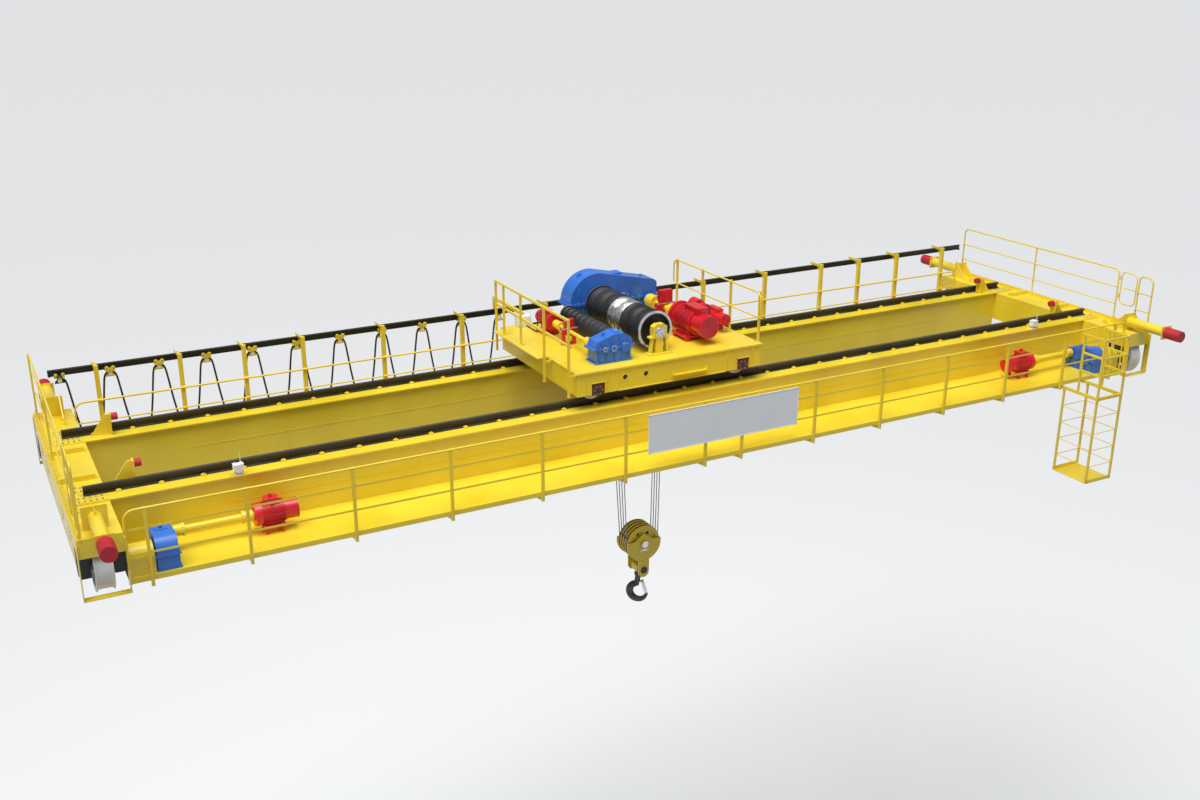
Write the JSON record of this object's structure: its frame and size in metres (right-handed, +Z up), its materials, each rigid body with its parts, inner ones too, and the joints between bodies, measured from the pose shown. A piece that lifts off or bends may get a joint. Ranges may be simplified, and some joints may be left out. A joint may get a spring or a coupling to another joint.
{
  "type": "overhead bridge crane",
  "caption": "Double-girder overhead travelling crane with an open winch trolley, a hook block, walkways with railings, a cable festoon and a hanging inspection cage.",
  "frame": {"origin": "on the flat underside of the left end carriage, midway between its two wheels", "axes": "+X along the span to the right end carriage, +Y along the runway to the rear, +Z up"},
  "size_m": [20.684, 7.4, 6.4842],
  "materials": {
    "yellow_paint": "gloss",
    "blue_paint": "gloss",
    "red_paint": "gloss",
    "black_paint": "satin",
    "rail_steel": "worn",
    "black_cast": "satin",
    "wheel_steel": "satin",
    "rope_steel": "oiled",
    "hook_steel": "satin",
    "latch_steel": "satin",
    "red_rubber": "matte",
    "white_board": "satin",
    "cable_rubber": "matte"
  },
  "bodies": {
    "bridge": {"axle_boxes": "black_cast", "axle_hoods": "yellow_paint", "buffer_arms": "yellow_paint", "bumpers": "red_rubber", "end_railings": "yellow_paint", "festoon_cable": "cable_rubber", "festoon_rail": "black_paint", "front_girder": "yellow_paint", "front_railing": "yellow_paint", "inspection_cage": "yellow_paint", "left_end_carriage": "yellow_paint", "limit_switches": "white_board", "rail_end_stops": "yellow_paint", "rear_girder": "yellow_paint", "rear_railing": "yellow_paint", "right_end_carriage": "yellow_paint", "sign_board": "white_board", "travel_gearboxes": "blue_paint", "travel_motors": "red_paint", "travel_shafting": "yellow_paint", "trolley_rails": "rail_steel", "walkways": "yellow_paint", "wheel_guards": "yellow_paint"},
    "trolley": {"trolley_frame": "yellow_paint", "trolley_railings": "yellow_paint", "trolley_axle_boxes": "black_cast", "hoist_gearbox": "blue_paint", "hoist_motor": "red_paint", "hoist_couplings": "yellow_paint", "hoist_brakes": "red_paint", "drum_pedestal": "yellow_paint", "aux_gearbox": "blue_paint", "aux_motor": "red_paint", "trolley_drive": "red_paint", "drum_falls": "rope_steel", "anchor_falls": "rope_steel"},
    "aux_drum": {"aux_drum": "rope_steel"},
    "block_sheaves": {"block_sheaves": "black_cast"},
    "bridge_wheel_front_left": {"bridge_wheel_front_left": "wheel_steel"},
    "bridge_wheel_front_right": {"bridge_wheel_front_right": "wheel_steel"},
    "bridge_wheel_rear_left": {"bridge_wheel_rear_left": "wheel_steel"},
    "bridge_wheel_rear_right": {"bridge_wheel_rear_right": "wheel_steel"},
    "cable_carrier_1": {"cable_carrier_1": "yellow_paint"},
    "cable_carrier_2": {"cable_carrier_2": "yellow_paint"},
    "cable_carrier_3": {"cable_carrier_3": "yellow_paint"},
    "cable_carrier_4": {"cable_carrier_4": "yellow_paint"},
    "cable_carrier_5": {"cable_carrier_5": "yellow_paint"},
    "cable_carrier_6": {"cable_carrier_6": "yellow_paint"},
    "cable_carrier_7": {"cable_carrier_7": "yellow_paint"},
    "cable_carrier_8": {"cable_carrier_8": "yellow_paint"},
    "cable_carrier_9": {"cable_carrier_9": "yellow_paint"},
    "hook": {"hook": "hook_steel"},
    "hook_block": {"hook_block": "yellow_paint"},
    "hook_latch": {"hook_latch": "latch_steel"},
    "left_gate": {"left_gate": "yellow_paint"},
    "main_drum": {"main_drum": "rope_steel"},
    "right_gate": {"right_gate": "yellow_paint"},
    "trolley_wheelset_left": {"trolley_wheelset_left": "wheel_steel"},
    "trolley_wheelset_right": {"trolley_wheelset_right": "wheel_steel"}
  },
  "joints": [
    {"name": "trolley_travel", "type": "slide", "parent": "bridge", "child": "trolley", "axis": [1, 0, 0], "range_m": [-5.5, 7.2], "deforming": ["festoon_cable"]},
    {"name": "hoist", "type": "slide", "parent": "trolley", "child": "hook_block", "axis": [0, 0, 1], "range_m": [-9.5, 2.5], "deforming": ["drum_falls", "anchor_falls"]},
    {"name": "main_drum_spin", "type": "hinge", "parent": "trolley", "child": "main_drum", "pos_m": [9.57, 0, 1.69], "axis": [0, 1, 0], "continuous": true},
    {"name": "aux_drum_spin", "type": "hinge", "parent": "trolley", "child": "aux_drum", "pos_m": [8.88, 0, 1.55], "axis": [0, 1, 0], "continuous": true},
    {"name": "trolley_wheels_left", "type": "hinge", "parent": "trolley", "child": "trolley_wheelset_left", "pos_m": [8.18, 0, 0.9503], "axis": [0, 1, 0], "continuous": true},
    {"name": "trolley_wheels_right", "type": "hinge", "parent": "trolley", "child": "trolley_wheelset_right", "pos_m": [11.12, 0, 0.9503], "axis": [0, 1, 0], "continuous": true},
    {"name": "wheel_front_left", "type": "hinge", "parent": "bridge", "child": "bridge_wheel_front_left", "pos_m": [0, -2.37, 0.05], "axis": [1, 0, 0], "continuous": true},
    {"name": "wheel_front_right", "type": "hinge", "parent": "bridge", "child": "bridge_wheel_front_right", "pos_m": [20.06, -2.37, 0.05], "axis": [1, 0, 0], "continuous": true},
    {"name": "wheel_rear_left", "type": "hinge", "parent": "bridge", "child": "bridge_wheel_rear_left", "pos_m": [0, 2.37, 0.05], "axis": [1, 0, 0], "continuous": true},
    {"name": "wheel_rear_right", "type": "hinge", "parent": "bridge", "child": "bridge_wheel_rear_right", "pos_m": [20.06, 2.37, 0.05], "axis": [1, 0, 0], "continuous": true},
    {"name": "left_gate_hinge", "type": "hinge", "parent": "bridge", "child": "left_gate", "pos_m": [-0.238, -1.9, 1.3], "axis": [0, 0, 1], "range_deg": [0, 90]},
    {"name": "right_gate_hinge", "type": "hinge", "parent": "bridge", "child": "right_gate", "pos_m": [20.298, -1.9, 1.3], "axis": [0, 0, -1], "range_deg": [0, 90]},
    {"name": "sheave_spin", "type": "hinge", "parent": "hook_block", "child": "block_sheaves", "pos_m": [9.88, -0.05, -2.87], "axis": [0, 1, 0], "continuous": true},
    {"name": "hook_swivel", "type": "hinge", "parent": "hook_block", "child": "hook", "pos_m": [9.88, -0.05, -3.44], "axis": [0, 0, 1], "continuous": true},
    {"name": "latch_hinge", "type": "hinge", "parent": "hook", "child": "hook_latch", "pos_m": [9.9394, -0.1094, -3.775], "axis": [0.7071, 0.7071, 0], "range_deg": [0, 25], "stiffness_Nm_per_rad": 3, "springref_deg": -11.46},
    {"name": "carrier_1_travel", "type": "slide", "parent": "bridge", "child": "cable_carrier_1", "axis": [1, 0, 0], "range_m": [-0.56, 0.73]},
    {"name": "carrier_2_travel", "type": "slide", "parent": "cable_carrier_1", "child": "cable_carrier_2", "axis": [1, 0, 0], "range_m": [-0.56, 0.73]},
    {"name": "carrier_3_travel", "type": "slide", "parent": "cable_carrier_2", "child": "cable_carrier_3", "axis": [1, 0, 0], "range_m": [-0.56, 0.73]},
    {"name": "carrier_4_travel", "type": "slide", "parent": "cable_carrier_3", "child": "cable_carrier_4", "axis": [1, 0, 0], "range_m": [-0.56, 0.73]},
    {"name": "carrier_5_travel", "type": "slide", "parent": "cable_carrier_4", "child": "cable_carrier_5", "axis": [1, 0, 0], "range_m": [-0.56, 0.73]},
    {"name": "carrier_6_travel", "type": "slide", "parent": "cable_carrier_5", "child": "cable_carrier_6", "axis": [1, 0, 0], "range_m": [-0.56, 0.73]},
    {"name": "carrier_7_travel", "type": "slide", "parent": "cable_carrier_6", "child": "cable_carrier_7", "axis": [1, 0, 0], "range_m": [-0.56, 0.73]},
    {"name": "carrier_8_travel", "type": "slide", "parent": "cable_carrier_7", "child": "cable_carrier_8", "axis": [1, 0, 0], "range_m": [-0.56, 0.73]},
    {"name": "carrier_9_travel", "type": "slide", "parent": "cable_carrier_8", "child": "cable_carrier_9", "axis": [1, 0, 0], "range_m": [-0.56, 0.73]}
  ],
  "couplings": [
    {"joint": "trolley_wheels_left", "follows": "trolley_travel", "rad_per_m": 5},
    {"joint": "trolley_wheels_right", "follows": "trolley_travel", "rad_per_m": 5},
    {"joint": "main_drum_spin", "follows": "hoist", "rad_per_m": 13.333},
    {"joint": "carrier_1_travel", "follows": "trolley_travel", "ratio": 0.1},
    {"joint": "carrier_2_travel", "follows": "trolley_travel", "ratio": 0.1},
    {"joint": "carrier_3_travel", "follows": "trolley_travel", "ratio": 0.1},
    {"joint": "carrier_4_travel", "follows": "trolley_travel", "ratio": 0.1},
    {"joint": "carrier_5_travel", "follows": "trolley_travel", "ratio": 0.1},
    {"joint": "carrier_6_travel", "follows": "trolley_travel", "ratio": 0.1},
    {"joint": "carrier_7_travel", "follows": "trolley_travel", "ratio": 0.1},
    {"joint": "carrier_8_travel", "follows": "trolley_travel", "ratio": 0.1},
    {"joint": "carrier_9_travel", "follows": "trolley_travel", "ratio": 0.1}
  ]
}
